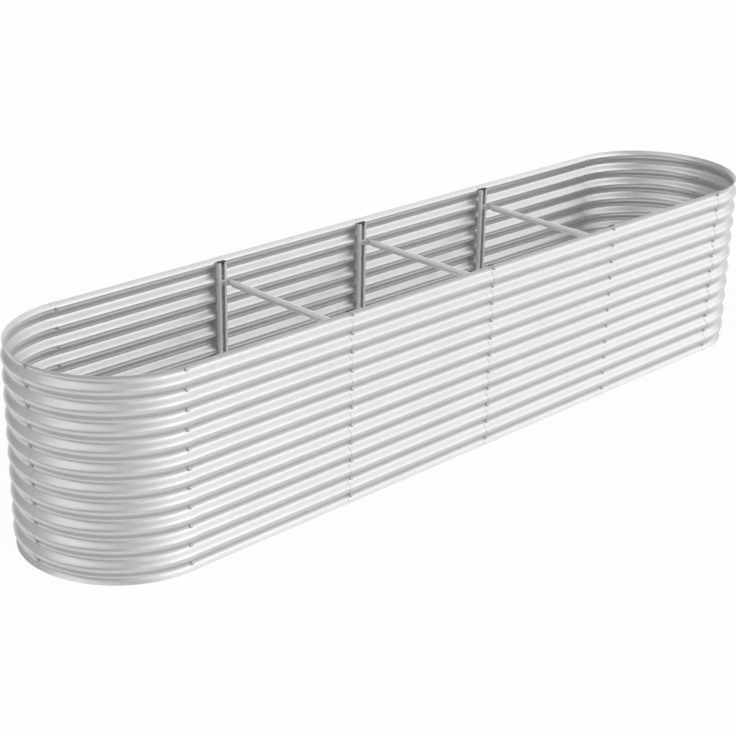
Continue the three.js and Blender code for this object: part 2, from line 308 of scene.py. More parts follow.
def joined(name: str, parts: Sequence[bpy.types.Object]) -> bpy.types.Object:
    """Several pieces made one object.

    Args:
        name: the object's name.
        parts: the mesh objects to join. They are used up.

    Returns:
        The joined object.
    """
    activate(parts[0])
    for part in parts:
        part.select_set(True)
    if len(parts) > 1:
        bpy.ops.object.join()
    parts[0].name = name
    parts[0].data.name = name
    return parts[0]


def discard(piece: bpy.types.Object) -> None:
    """Deletes a pattern piece once its copies are made."""
    bpy.data.objects.remove(piece)


def dress(
    piece: bpy.types.Object, finish: bpy.types.Material, slot: Slot, nodes: Sequence[str] = ()
) -> None:
    """Gives a piece its finish and its place in the frame.

    Args:
        piece: the mesh object.
        finish: the material.
        slot: the record's slot of that material. It is not used.
        nodes: the nodes that the piece stands for.
    """
    piece.data.materials.clear()
    piece.data.materials.append(finish)
    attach(piece, BODY)
    if nodes:
        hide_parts(*nodes)
    LOG.info("%s: %d faces, for %s", piece.name, len(piece.data.polygons), nodes or "no node")


# ---- Finishes ----------------------------------------------------------------------------------


# The sRGB curve: straight under its knee and a power above it.
SRGB_KNEE = 0.04045
SRGB_SLOPE = 12.92
SRGB_OFFSET = 0.055
SRGB_POWER = 2.4

CLOUD_DETAIL = 4.0
CLOUD_ROUGHNESS = 0.55
FINE_DETAIL = 2.0


def linear(colour: str) -> tuple[float, float, float, float]:
    """A linear colour from an sRGB hex value.

    Args:
        colour: six hex digits after a #.

    Returns:
        Red, green, blue and an alpha of 1.
    """
    channels = [int(colour[at : at + 2], 16) / 255.0 for at in (1, 3, 5)]
    red, green, blue = (
        c / SRGB_SLOPE if c <= SRGB_KNEE else ((c + SRGB_OFFSET) / (1.0 + SRGB_OFFSET)) ** SRGB_POWER
        for c in channels
    )
    return red, green, blue, 1.0


def add_node(
    tree: bpy.types.NodeTree,
    kind: str,
    settings: Mapping[str, object] | None = None,
    links: Mapping[str | int, object] | None = None,
) -> bpy.types.Node:
    """Adds a node with its settings and links.

    Args:
        tree: the node tree.
        kind: the node's type.
        settings: the node's own properties.
        links: for each input, by name or number, a value or the output that feeds it.

    Returns:
        The new node.
    """
    node = tree.nodes.new(kind)
    for key, value in (settings or {}).items():
        setattr(node, key, value)
    for key, value in (links or {}).items():
        if isinstance(value, bpy.types.NodeSocket):
            tree.links.new(value, node.inputs[key])
        else:
            node.inputs[key].default_value = value
    return node


def emptied(block: bpy.types.Material | bpy.types.World) -> bpy.types.NodeTree:
    """The node tree of a material or a world, without nodes.

    Args:
        block: the material or the world.
    """
    block.use_nodes = True
    block.node_tree.nodes.clear()
    return block.node_tree


def noise(
    tree: bpy.types.NodeTree, where: bpy.types.NodeSocket, width: float, **settings: float
) -> bpy.types.NodeSocket:
    """Soft irregular patches.

    Args:
        tree: the node tree.
        where: the place on the object.
        width: of one patch, metres.
        settings: the texture's other inputs.

    Returns:
        The output that holds the pattern, from 0 to 1.
    """
    inputs = {"Vector": where, "Scale": 1.0 / width, **settings}
    return add_node(tree, "ShaderNodeTexNoise", links=inputs).outputs["Fac"]


def two_tone(
    tree: bpy.types.NodeTree, share: bpy.types.NodeSocket, first: str, second: str
) -> bpy.types.NodeSocket:
    """A colour between two.

    Args:
        tree: the node tree.
        share: of the second colour, from 0 to 1.
        first: sRGB.
        second: sRGB.

    Returns:
        The output that holds the colour.
    """
    ramp = add_node(tree, "ShaderNodeValToRGB", links={"Fac": share})
    for stop, colour in zip(ramp.color_ramp.elements, (first, second), strict=True):
        stop.color = linear(colour)
    return ramp.outputs["Color"]


def bumps(
    tree: bpy.types.NodeTree, pattern: bpy.types.NodeSocket, relief: float
) -> bpy.types.NodeSocket:
    """A pattern as a fine relief.

    Args:
        tree: the node tree.
        pattern: the relief's height, from 0 to 1.
        relief: the height of 1, metres.

    Returns:
        The output that holds the surface's direction.
    """
    inputs = {"Distance": relief, "Height": pattern}
    return add_node(tree, "ShaderNodeBump", links=inputs).outputs["Normal"]


def surface(tree: bpy.types.NodeTree, inputs: Mapping[str, object]) -> None:
    """Ends a material with the principled shader.

    Args:
        tree: the node tree.
        inputs: the shader's values and links.
    """
    shader = add_node(tree, "ShaderNodeBsdfPrincipled", links=inputs)
    add_node(tree, "ShaderNodeOutputMaterial", links={"Surface": shader.outputs["BSDF"]})


@dataclass(frozen=True)
class ZincFinish:
    """A zinc coating on steel, as hot-dipped and rolled, or as plated.

    The zinc sets in crystals (spangle) that each lean a little another way, so neighbouring
    patches differ slightly in tone and gloss. A dull skin forms over it in soft clouds and
    scatters part of the light, and the rolling leaves a fine grain.

    Attributes:
        name: the material's name.
        zinc: the colour of the bare coating, sRGB.
        skin: the colour where the dull skin is thickest, sRGB.
        roughness: of the coating, at its middle.
        roughness_swing: how much crystals and clouds change it, up and down.
        metallic: how much of the surface is bare metal, the rest being dull skin.
        spangle: the width of one crystal, metres.
        spangle_tone: how much of the tone is the crystals', the rest being the clouds'.
        cloud: the width of one cloud of dull skin, metres.
        grain: the spacing of the rolling grain, metres. Real grain is about 0.1 mm, and it is
            drawn coarser so that it shows.
        relief: the height of the grain, metres.
    """

    name: str
    zinc: str
    skin: str
    roughness: float
    roughness_swing: float = 0.03
    metallic: float = 0.7
    spangle: float = 9.0 * MM
    spangle_tone: float = 0.35
    cloud: float = 160.0 * MM
    grain: float = 1.2 * MM
    relief: float = 0.005 * MM

    def tone(self, tree: bpy.types.NodeTree, where: bpy.types.NodeSocket) -> bpy.types.NodeSocket:
        """The spangle and the clouds of dull skin, from 0, bare, to 1, dull.

        Args:
            tree: the material's node tree.
            where: the place on the object.

        Returns:
            The output that holds the tone.
        """
        crystals = add_node(
            tree, "ShaderNodeTexVoronoi", links={"Vector": where, "Scale": 1.0 / self.spangle}
        )
        lean = add_node(
            tree, "ShaderNodeSeparateColor", links={"Color": crystals.outputs["Color"]}
        )
        clouds = noise(tree, where, self.cloud, Detail=CLOUD_DETAIL, Roughness=CLOUD_ROUGHNESS)
        mixed = add_node(
            tree,
            "ShaderNodeMix",
            links={"Factor": self.spangle_tone, "A": clouds, "B": lean.outputs[0]},
        )
        return mixed.outputs["Result"]

    def material(self) -> bpy.types.Material:
        """Builds the material."""
        finish = bpy.data.materials.new(self.name)
        tree = emptied(finish)
        where = add_node(tree, "ShaderNodeTexCoord").outputs["Object"]
        tone = self.tone(tree, where)
        gloss = add_node(
            tree,
            "ShaderNodeMapRange",
            links={
                "Value": tone,
                "To Min": self.roughness - self.roughness_swing,
                "To Max": self.roughness + self.roughness_swing,
            },
        )
        grain = noise(tree, where, self.grain, Detail=FINE_DETAIL)
        inputs = {
            "Base Color": two_tone(tree, tone, self.zinc, self.skin),
            "Metallic": self.metallic,
            "Roughness": gloss.outputs["Result"],
            "Normal": bumps(tree, grain, self.relief),
        }
        surface(tree, inputs)
        return finish


WHITE = linear("#ffffff")

# Hot-dip galvanised sheet. The eye sees a pale, neutral satin: each wave carries one broad soft
# band of light, faintly clouded, with no sharp image in it.
SHEET_FINISH = ZincFinish("galvanised_sheet", "#d4d5d5", "#c9caca", roughness=0.33)
# Roll-formed channel of heavier strip. The eye sees the same zinc, duller: it mirrors less of the
# wall across the bed and scatters more of the light from above. Its colours are paler than the
# sheet's zinc: painted light, which brightens the channel's shaded flanges and slot.
POST_FINISH = ZincFinish(
    "galvanised_channel", "#eaebeb", "#dedfdf", roughness=0.42, metallic=0.4
)
# Drawn tube, galvanised. The eye sees a light, even satin with one wide highlight along the top.
# Its colours are paler than the sheet's zinc: painted light, which brightens the whole tube.
TUBE_FINISH = ZincFinish(
    "galvanised_tube", "#ebecec", "#e2e3e3", roughness=0.44, metallic=0.6
)
# Zinc-plated fasteners. The eye sees small bright glints: smooth, bare metal without spangle.
PLATED_FINISH = ZincFinish(
    "zinc_plate",
    "#d4d5d5",
    "#bbbcbc",
    roughness=0.24,
    metallic=1.0,
    spangle_tone=0.0,
    cloud=3.0 * MM,
)


@dataclass(frozen=True)
class MouldedFinish:
    """Black polyethylene, moulded: matt, with the mould's fine sparked texture.

    The eye sees a near-black body with a soft grey bloom where the light grazes it.

    Attributes:
        name: the material's name.
        body: the plastic's colour, sRGB.
        bloom: the colour where handling has dulled it, sRGB.
        roughness: of its surface.
        texture: the spacing of the mould's texture, metres.
        relief: the height of the texture, metres.
    """

    name: str
    body: str = "#17181a"
    bloom: str = "#26282a"
    roughness: float = 0.5
    texture: float = 0.8 * MM
    relief: float = 0.02 * MM

    def material(self) -> bpy.types.Material:
        """Builds the material."""
        finish = bpy.data.materials.new(self.name)
        tree = emptied(finish)
        where = add_node(tree, "ShaderNodeTexCoord").outputs["Object"]
        speckle = noise(tree, where, self.texture, Detail=FINE_DETAIL)
        inputs = {
            "Base Color": two_tone(tree, speckle, self.body, self.bloom),
            "Roughness": self.roughness,
            "Normal": bumps(tree, speckle, self.relief),
        }
        surface(tree, inputs)
        return finish


PLUG_FINISH = MouldedFinish("moulded_polyethylene")


# ---- The wall ----------------------------------------------------------------------------------


@dataclass(frozen=True)
class Wave:
    """The corrugation: a sine up the wall, with its valleys at the bolts.

    Attributes:
        pitch: from valley to valley, metres.
        depth: from valley to crest, metres.
        margin: from the ground to the lowest valley, and from the highest to the rim, metres.
        valleys: how many valleys the wall has.
        steps: into how many strips one wave is divided.
    """

    pitch: float = 57.5 * MM
    depth: float = 17.0 * MM
    margin: float = 17.5 * MM
    valleys: int = 11
    steps: int = 16

    def out(self, height: float) -> float:
        """How far the middle of the sheet stands out from its mean line at a height."""
        phase = 2.0 * math.pi * (height - self.margin) / self.pitch
        return -self.depth / 2.0 * math.cos(phase)

    def valley_heights(self) -> list[float]:
        """The heights of the valleys, from the ground up."""
        return [self.margin + self.pitch * row for row in range(self.valleys)]

    def heights(self) -> list[float]:
        """Heights from the crest under the ground to the crest over the rim."""
        start = self.margin - self.pitch / 2.0
        strip = self.pitch / self.steps
        return [start + strip * step for step in range(self.valleys * self.steps + 1)]


@dataclass(frozen=True)
class Plan:
    """The bed's plan and its seams.

    Attributes:
        height: of the wall, metres.
        end_radius: of the round ends, at the middle of the corrugation, metres.
        seam_spacing: along the straight sides, metres.
        panels_per_side: side panels on each long side.
        sheet: the thickness of the sheet, metres.
        lap: how far two sheets overlap at a seam, metres.
        lap_gap: between the two sheets of a seam, metres.
        wave: the corrugation.
    """

    height: float = 610.0 * MM
    end_radius: float = 305.0 * MM
    seam_spacing: float = 600.0 * MM
    panels_per_side: int = 4
    sheet: float = 0.8 * MM
    lap: float = 25.0 * MM
    lap_gap: float = 0.4 * MM
    wave: Wave = field(default_factory=Wave)

    @property
    def last_corner(self) -> int:
        """The seam where the second corner panel begins."""
        return self.panels_per_side + 1

    @property
    def lap_offset(self) -> float:
        """How far each sheet of a seam stands out or in."""
        return (self.sheet + self.lap_gap) / 2.0

    @property
    def valley_plane(self) -> float:
        """From the bed's long middle plane to the middle of the sheet in a valley."""
        return self.end_radius - self.wave.depth / 2.0

    @property
    def valley_outside(self) -> float:
        """From the middle plane to the outer face of a seam in a valley."""
        return self.valley_plane + self.lap_offset + self.sheet / 2.0

    @property
    def valley_inside(self) -> float:
        """From the middle plane to the inner face of a seam in a valley."""
        return self.valley_plane - self.lap_offset - self.sheet / 2.0

    def seam_x(self, seam: int) -> float:
        """Where a seam of the straight sides lies along the bed."""
        return (seam - 1 - self.panels_per_side / 2.0) * self.seam_spacing

    def has_post(self, seam: int) -> bool:
        """Whether a post stands behind a seam."""
        return 1 < seam < self.last_corner

    def later_outside(self, seam: int) -> bool:
        """Whether the later of the two sheets at a seam lies outside."""
        if self.has_post(seam):
            return seam - 1 <= self.panels_per_side / 2
        return seam == self.last_corner

    def offsets(self, seam: int) -> tuple[float, float]:
        """How far the panel that begins at a seam stands out, at its start and at its end."""
        after = (seam + 1) % (self.last_corner + 1)
        start = self.lap_offset if self.later_outside(seam) else -self.lap_offset
        end = -self.lap_offset if self.later_outside(after) else self.lap_offset
        return start, end


@dataclass
class CorrugatedWall:
    """The twelve corrugated sheets, each rolled, bent and cut as one thin shell.

    Attributes:
        plan: the bed's plan.
        bend_steps: divisions of a quarter-round corner panel.
        tip: the end of a panel that the bolts pull onto the next one, metres.
        tip_gap: what stays open between the two sheets there, metres.
    """

    plan: Plan
    bend_steps: int = 28
    tip: float = 6.0 * MM
    tip_gap: float = 0.05 * MM

    def wave_wire(self, name: str, base: Vector) -> bpy.types.Object:
        """The sheet's edge: a point drawn up in the corrugation's wave, facing the near side.

        Args:
            name: the object's name.
            base: the point of the mean line, on the ground, where the wire stands.

        Returns:
            The wire, a little longer than the wall is high.
        """
        wave = self.plan.wave
        points = [base - INWARD * wave.out(z) + UP * z for z in wave.heights()]
        wire = single_point(name, points[0])
        with editing(wire):
            bpy.ops.mesh.select_all(action="SELECT")
            for before, after in pairwise(points):
                extrude(after - before)
        return wire

    def pull(self, offset: float) -> float:
        """How far a panel's very end stands further out than the rest of its lap.

        Args:
            offset: how far the lap stands out: in front of the other sheet, or behind it.
        """
        return -math.copysign(self.plan.lap_gap - self.tip_gap, offset)

    def side_sheet(self, name: str, seam: int) -> bpy.types.Object:
        """A straight panel: the wire drawn out along the bed, over both seams' laps.

        Args:
            name: the object's name.
            seam: the seam where the panel begins.

        Returns:
            The panel as a sheet without thickness.
        """
        plan = self.plan
        start, end = plan.offsets(seam)
        near = -(plan.end_radius + start + self.pull(start))
        sheet = self.wave_wire(name, Vector((plan.seam_x(seam) - plan.lap / 2.0, near, 0.0)))
        length = plan.seam_spacing + plan.lap - 4.0 * self.tip
        with editing(sheet):
            bpy.ops.mesh.select_all(action="SELECT")
            extrude(ALONG * self.tip + INWARD * self.pull(start))
            extrude(ALONG * self.tip)
            extrude(ALONG * length - INWARD * (end - start))
            extrude(ALONG * self.tip)
            extrude(ALONG * self.tip - INWARD * self.pull(end))
        return sheet

    def corner_sheet(self, name: str, seam: int) -> bpy.types.Object:
        """A quarter-round panel: the wire spun round the end's axis, and drawn on for the lap.

        Args:
            name: the object's name.
            seam: the seam where the panel begins: 0 on the left, the last corner on the right.

        Returns:
            The panel as a sheet without thickness.
        """
        plan = self.plan
        left = seam == 0
        start, end = plan.offsets(seam)
        tangent, middle = (end, start) if left else (start, end)
        axis_x = plan.seam_x(1 if left else plan.last_corner)
        outwards = 1.0 if left else -1.0
        radius = plan.end_radius + tangent
        sheet = self.wave_wire(name, Vector((axis_x, -radius, 0.0)))
        axis = Vector((axis_x, 0.0, 0.0))
        turn = math.pi / 2.0 + plan.lap / 2.0 / plan.end_radius
        with editing(sheet):
            bpy.ops.mesh.select_all(action="SELECT")
            bpy.ops.mesh.spin(
                steps=self.bend_steps, angle=outwards * turn, center=axis, axis=UP
            )
            bpy.ops.mesh.select_all(action="SELECT")
            narrowing = (plan.end_radius + middle) / radius
            stretch((narrowing, 1.0, 1.0), axis)
            pick(sheet, lambda at: at.y > SAME_PLACE)
            bpy.ops.transform.translate(value=-ALONG * outwards * self.pull(middle))
            pick(sheet, lambda at: abs(at.x - axis_x) < SAME_PLACE and at.y < 0.0)
            extrude(ALONG * outwards * (plan.lap / 2.0 - self.tip))
            extrude(ALONG * outwards * self.tip - INWARD * self.pull(tangent))
        return sheet

    def cut(self, sheet: bpy.types.Object) -> None:
        """Gives a sheet its thickness and cuts it level at the ground and at the rim.

        Args:
            sheet: the panel without thickness.
        """
        thicken(sheet, self.plan.sheet)
        for level, away in ((0.0, -UP), (self.plan.height, UP)):
            with editing(sheet):
                bpy.ops.mesh.select_all(action="SELECT")
                bpy.ops.mesh.bisect(
                    plane_co=UP * level, plane_no=away, use_fill=True, clear_outer=True
                )
        smooth(sheet)

    def nodes(self, seam: int) -> tuple[str, str]:
        """The names of the panels that begin at a seam, in the near half and in the far half."""
        last = self.plan.last_corner
        if seam == 0:
            return "corner_panel_front_left", "corner_panel_back_right"
        if seam == last:
            return "corner_panel_front_right", "corner_panel_back_left"
        return f"side_panel_front_{seam}", f"side_panel_back_{last - seam}"

    def build(self, finish: bpy.types.Material) -> None:
        """Models the near half's panels and their turned copies, and dresses them.

        Args:
            finish: the sheets' material.
        """
        for seam in range(self.plan.last_corner + 1):
            near, far = self.nodes(seam)
            is_corner = seam in (0, self.plan.last_corner)
            shape = self.corner_sheet if is_corner else self.side_sheet
            sheet = shape(near.replace("panel", "sheet"), seam)
            self.cut(sheet)
            turned = copied(sheet, far.replace("panel", "sheet"), HALF_TURN)
            dress(sheet, finish, Slot.SHEET, [near])
            dress(turned, finish, Slot.SHEET, [far])


# ---- Posts -------------------------------------------------------------------------------------


@dataclass
class ChannelPost:
    """A lipped channel, bent from flat strip, with its web against the wall.

    Attributes:
        plan: the bed's plan.
        width: along the wall, metres.
        depth: from the web's outer face to the lips' inner face, metres.
        lip: width of each lip, from the outside of the channel to its edge, metres.
        steel: thickness of the strip, metres.
        bend: inside radius of the bends, metres.
        bend_steps: divisions of a bend.
        setback: from the rim down to the top, and from the ground to the foot, metres.
        seat_gap: from the seam's inner face to the web, metres.
    """

    plan: Plan
    width: float = 32.0 * MM
    depth: float = 15.0 * MM
    lip: float = 9.5 * MM
    steel: float = 1.5 * MM
    bend: float = 1.5 * MM
    bend_steps: int = 4
    setback: float = 11.0 * MM
    seat_gap: float = 0.3 * MM

    @property
    def web_plane(self) -> float:
        """From the middle plane to the web's outer face."""
        return self.plan.valley_inside - self.seat_gap

    @property
    def web_inside(self) -> float:
        """From the middle plane to the web's inner face."""
        return self.web_plane - self.steel

    @property
    def lip_plane(self) -> float:
        """From the middle plane to the lips' inner face."""
        return self.web_plane - self.depth

    def strip(self, name: str) -> bpy.types.Object:
        """The channel at x = 0 on the near side, without its places along the bed.

        Args:
            name: the object's name.

        Returns:
            The finished channel.
        """
        post = primitive(name, bpy.ops.mesh.primitive_plane_add, size=1.0)
        middle = self.width / 2.0 - self.steel / 2.0
        length = self.plan.height - 2.0 * self.setback
        web_middle = self.web_plane - self.steel / 2.0
        stand = Matrix.Translation((0.0, -web_middle, self.setback + length / 2.0))
        stand @= Matrix.Rotation(math.pi / 2.0, 4, "X")
        place(post, stand @ Matrix.Diagonal((2.0 * middle, length, 1.0, 1.0)))
        with editing(post):
            for side in (-1.0, 1.0):
                pick(post, lambda at: abs(at.x - side * middle) < SAME_PLACE)
                extrude(INWARD * (self.depth - self.steel))
                extrude(-ALONG * side * (self.lip - self.steel / 2.0))
            self.pick_bends(post, middle)
            bpy.ops.mesh.bevel(
                affect="EDGES", offset=self.bend + self.steel / 2.0, segments=self.bend_steps
            )
        thicken(post, self.steel)
        smooth(post)
        return post

    def pick_bends(self, post: bpy.types.Object, middle: float) -> None:
        """Selects the four upright edges where the strip is bent.

        Args:
            post: the unbent strip, in edit mode.
            middle: from the channel's middle to the middle of its side walls.
        """

        def at_bend(edge: bmesh.types.BMEdge) -> bool:
            """Whether an edge is upright and lies where a side wall does."""
            out = abs(edge.verts[0].co.x)
            return is_upright(edge) and abs(out - middle) < SAME_PLACE

        pick_edges(post, at_bend)

    def spots(self) -> Iterator[tuple[str, Matrix]]:
        """Each post's label, and where it goes from x = 0 on the near side."""
        for number in range(1, self.plan.panels_per_side):
            shift = Matrix.Translation((self.plan.seam_x(number + 1), 0.0, 0.0))
            for side in Side:
                yield f"{side.value}_{number}", shift @ side.turn

    def build(self, finish: bpy.types.Material) -> None:
        """Copies the channel to every post, and dresses each.

        Args:
            finish: the posts' material.
        """
        pattern = self.strip("post_pattern")
        for label, spot in self.spots():
            post = copied(pattern, f"channel_{label}", spot)
            dress(post, finish, Slot.POST, [f"post_{label}"])
        discard(pattern)


@dataclass
class PostPlug:
    """A moulded plug in a post's top: a head, a tongue behind the lips and a key in the slot.

    Attributes:
        post: the posts that the plugs close.
        head: thickness of the head, metres.
        tongue: thickness of the tongue, metres.
        depth: of the tongue and the key, below the post's top, metres.
        fit: between the plug and the steel, metres.
        corner_steps: divisions of the head's round corners.
        soft_edge: radius of the moulding's edges, metres.
        soft_steps: divisions of a soft edge.
    """

    post: ChannelPost
    head: float = 1.2 * MM
    tongue: float = 3.0 * MM
    depth: float = 5.0 * MM
    fit: float = 0.3 * MM
    corner_steps: int = 4
    soft_edge: float = 0.25 * MM
    soft_steps: int = 2

    def block(
        self, name: str, width: float, near: float, far: float, low: float, high: float
    ) -> bpy.types.Object:
        """A plate drawn up into a block centred on x = 0.

        Args:
            name: the object's name.
            width: along X.
            near: the y of its face towards the bed's middle plane.
            far: the y of its face towards the wall.
            low: the height of its underside.
            high: the height of its top.

        Returns:
            The block, open to further shaping.
        """
        piece = primitive(name, bpy.ops.mesh.primitive_plane_add, size=1.0)
        middle = Matrix.Translation((0.0, (near + far) / 2.0, low))
        place(piece, middle @ Matrix.Diagonal((width, near - far, 1.0, 1.0)))
        with editing(piece):
            bpy.ops.mesh.select_all(action="SELECT")
            extrude(UP * (high - low))
        return piece

    def round_head(self, head: bpy.types.Object) -> None:
        """Rounds the head's four upright corners as the channel's bends are.

        Args:
            head: the square head, in object mode.
        """
        with editing(head):
            pick_edges(head, is_upright)
            radius = self.post.bend + self.post.steel
            bpy.ops.mesh.bevel(affect="EDGES", offset=radius, segments=self.corner_steps)

    def plug(self, name: str) -> bpy.types.Object:
        """The plug at x = 0 on the near side.

        Args:
            name: the object's name.

        Returns:
            The finished plug.
        """
        post = self.post
        top = post.plan.height - post.setback
        foot = top - self.depth
        head_low = top + self.fit
        head_high = head_low + self.head
        inside_head = head_low + self.head / 2.0
        tongue_width = post.width - 2.0 * (post.steel + post.bend)
        tongue_near = -(post.lip_plane + post.steel + self.fit)
        tongue_far = tongue_near - self.tongue
        key_width = post.width - 2.0 * (post.lip + self.fit)
        plug = self.block(name, post.width, -post.lip_plane, -post.web_plane, head_low, head_high)
        self.round_head(plug)
        limbs = (
            self.block("tongue", tongue_width, tongue_near, tongue_far, foot, inside_head),
            self.block("key", key_width, -post.lip_plane, tongue_far, foot, inside_head),
        )
        for limb in limbs:
            settle_normals(limb)
            settle_normals(plug)
            apply_modifier(
                plug, "BOOLEAN", {"operation": "UNION", "object": limb, "solver": "EXACT"}
            )
            discard(limb)
        apply_modifier(
            plug,
            "BEVEL",
            {"width": self.soft_edge, "segments": self.soft_steps, "limit_method": "ANGLE"},
        )
        settle_normals(plug)
        smooth(plug)
        return plug

    def build(self, finish: bpy.types.Material) -> None:
        """Copies the plug to every post, and dresses each.

        Args:
            finish: the plugs' material.
        """
        pattern = self.plug("plug_pattern")
        for label, spot in self.post.spots():
            plug = copied(pattern, f"end_plug_{label}", spot)
            dress(plug, finish, Slot.PLUG, [f"post_plug_{label}"])
        discard(pattern)


# ---- Braces ------------------------------------------------------------------------------------


@dataclass
class TubeBrace:
    """A round tube, pressed flat at both ends and bent there into a foot for one bolt.

    Attributes:
        plan: the bed's plan.
        post: the posts that the feet bear on.
        valley: the valley that the braces lie at, counted from the rim.
        diameter: of the tube, metres.
        wall: of the tube, metres.
        offset: along the bed, from the bolt to the tube's axis, metres.
        foot_height: of the flattened end, trimmed narrower than half the tube's girth, metres.
        reach: from the bolt to the foot's rounded tip, metres.
        foot_bend: radius of the bend, at the middle of the flattened tube, metres.
        pressed: flat stretch of the tube past the bend, metres.
        taper: length over which the tube grows from flat to round, metres.
        seat_gap: from the lips to the foot, metres.
        sides: points round the tube.
        taper_steps: rings along the taper.
        bend_steps: rings round the bend.
    """

    plan: Plan
    post: ChannelPost
    valley: int = 2
    diameter: float = 22.0 * MM
    wall: float = 1.2 * MM
    offset: float = 14.0 * MM
    foot_height: float = 18.0 * MM
    reach: float = 12.0 * MM
    foot_bend: float = 5.0 * MM
    pressed: float = 5.0 * MM
    taper: float = 26.0 * MM
    seat_gap: float = 0.3 * MM
    sides: int = 32
    taper_steps: int = 8
    bend_steps: int = 6

    @property
    def height(self) -> float:
        """The height of the braces' axes."""
        wave = self.plan.wave
        return self.plan.height - wave.margin - (self.valley - 1) * wave.pitch

    @property
    def foot_plane(self) -> float:
        """From the middle plane to the foot's face on the lips."""
        return self.post.lip_plane - self.seat_gap

    @property
    def foot_thickness(self) -> float:
        """Two walls of the tube, pressed together."""
        return 2.0 * self.wall

    def ring_step(self, depth: float, share: float, before: float) -> None:
        """Extrudes the selected ring towards the near wall and flattens it further.

        Args:
            depth: how far the new ring lies from the last.
            share: how flat the new ring is, from 0, round, to 1, flat.
            before: how flat the last ring is.
        """
        extrude(-INWARD * depth)
        thin = self.foot_thickness / self.diameter
        tall = self.foot_height / self.diameter
        width_now, width_was = (1.0 + (thin - 1.0) * part for part in (share, before))
        height_now, height_was = (1.0 + (tall - 1.0) * part for part in (share, before))
        centre = Vector((self.offset, 0.0, 0.0))
        stretch((width_now / width_was, 1.0, height_now / height_was), centre)

    def press_flat(self, brace: bpy.types.Object, depth: float) -> None:
        """Makes the ring at a depth two flat walls.

        Args:
            brace: the half brace, in edit mode.
            depth: how far the ring lies from the bed's middle plane.
        """
        for side in (-1.0, 1.0):
            face = Vector((self.offset + side * self.foot_thickness / 2.0, 0.0, 0.0))
            pick(
                brace,
                lambda at: abs(at.y + depth) < SAME_PLACE
                and side * (at.x - self.offset) > SAME_PLACE,
            )
            stretch((0.0, 1.0, 1.0), face)

    def round_tip(self, brace: bpy.types.Object) -> None:
        """Draws the foot's end back at each height, out to a half circle.

        Args:
            brace: the half brace, in edit mode.
        """
        radius = self.foot_height / 2.0
        mesh = bmesh.from_edit_mesh(brace.data)
        end = min(point.co.x for point in mesh.verts)
        levels = sorted(
            {
                round(point.co.z, HEIGHT_DIGITS)
                for point in mesh.verts
                if point.co.x < end + SAME_PLACE
            }
        )
        for level in levels:
            pick(
                brace,
                lambda at: at.x < end + SAME_PLACE and abs(at.z - level) < SAME_PLACE,
            )
            back = radius - math.sqrt(max(radius**2 - level**2, 0.0))
            bpy.ops.transform.translate(value=ALONG * back)

    def half(self, name: str) -> bpy.types.Object:
        """Half of a brace, from the bed's middle plane to the tip of its near foot.

        Args:
            name: the object's name.

        Returns:
            The half, with its axis at height 0 and its bolt's line at x = 0.
        """
        circle = bpy.ops.mesh.primitive_circle_add
        brace = primitive(name, circle, vertices=self.sides, radius=self.diameter / 2.0)
        stand = Matrix.Translation((self.offset, 0.0, 0.0)) @ Matrix.Rotation(math.pi / 2, 4, "X")
        place(brace, stand)
        foot_middle = self.foot_plane - self.foot_thickness / 2.0
        bend_depth = foot_middle - self.foot_bend
        flat_depth = bend_depth - self.pressed
        with editing(brace):
            bpy.ops.mesh.select_all(action="SELECT")
            extrude(-INWARD * (flat_depth - self.taper))
            before = 0.0
            for step in range(1, self.taper_steps + 1):
                part = step / self.taper_steps
                share = part * part * (3.0 - 2.0 * part)
                self.ring_step(self.taper / self.taper_steps, share, before)
                before = share
            self.press_flat(brace, flat_depth)
            pick(brace, lambda at: abs(at.y + flat_depth) < SAME_PLACE)
            extrude(-INWARD * self.pressed)
            bpy.ops.mesh.spin(
                steps=self.bend_steps,
                angle=math.pi / 2.0,
                center=Vector((self.offset - self.foot_bend, -bend_depth, 0.0)),
                axis=UP,
            )
            bend_end = self.offset - self.foot_bend
            past_bend = -bend_depth - SAME_PLACE
            pick(
                brace,
                lambda at: abs(at.x - bend_end) < SAME_PLACE and at.y < past_bend,
            )
            extrude(-ALONG * (bend_end + self.reach - self.foot_height / 2.0))
            tip_start = -self.reach + self.foot_height / 2.0
            pick(
                brace,
                lambda at: abs(at.x - tip_start) < SAME_PLACE and at.y < past_bend,
            )
            extrude(-ALONG * (self.foot_height / 2.0))
            self.round_tip(brace)
        return brace

    def close_tip(self, brace: bpy.types.Object) -> None:
        """Closes the foot's open end between its two walls.

        Args:
            brace: the half brace, in object mode.
        """

        def at_tip(edge: bmesh.types.BMEdge) -> bool:
            """Whether an edge is open and isn't of the ring in the bed's middle plane."""
            middle_ring = all(abs(point.co.y) < SAME_PLACE for point in edge.verts)
            return edge.is_boundary and not middle_ring

        with editing(brace):
            pick_edges(brace, at_tip)
            bpy.ops.mesh.fill(use_beauty=False)

    def build(self, finish: bpy.types.Material) -> None:
        """Models one brace, copies it to each pair of posts and dresses the copies.

        Args:
            finish: the braces' material.
        """
        pattern = self.half("brace_pattern")
        self.close_tip(pattern)
        apply_modifier(
            pattern,
            "MIRROR",
            {"use_axis": (False, True, False), "merge_threshold": SAME_PLACE},
        )
        settle_normals(pattern)
        smooth(pattern)
        for number in range(1, self.plan.panels_per_side):
            spot = Matrix.Translation((self.plan.seam_x(number + 1), 0.0, self.height))
            brace = copied(pattern, f"tube_brace_{number}", spot)
            dress(brace, finish, Slot.TUBE, [f"cross_brace_{number}"])
        discard(pattern)


# ---- Bolts and nuts ----------------------------------------------------------------------------


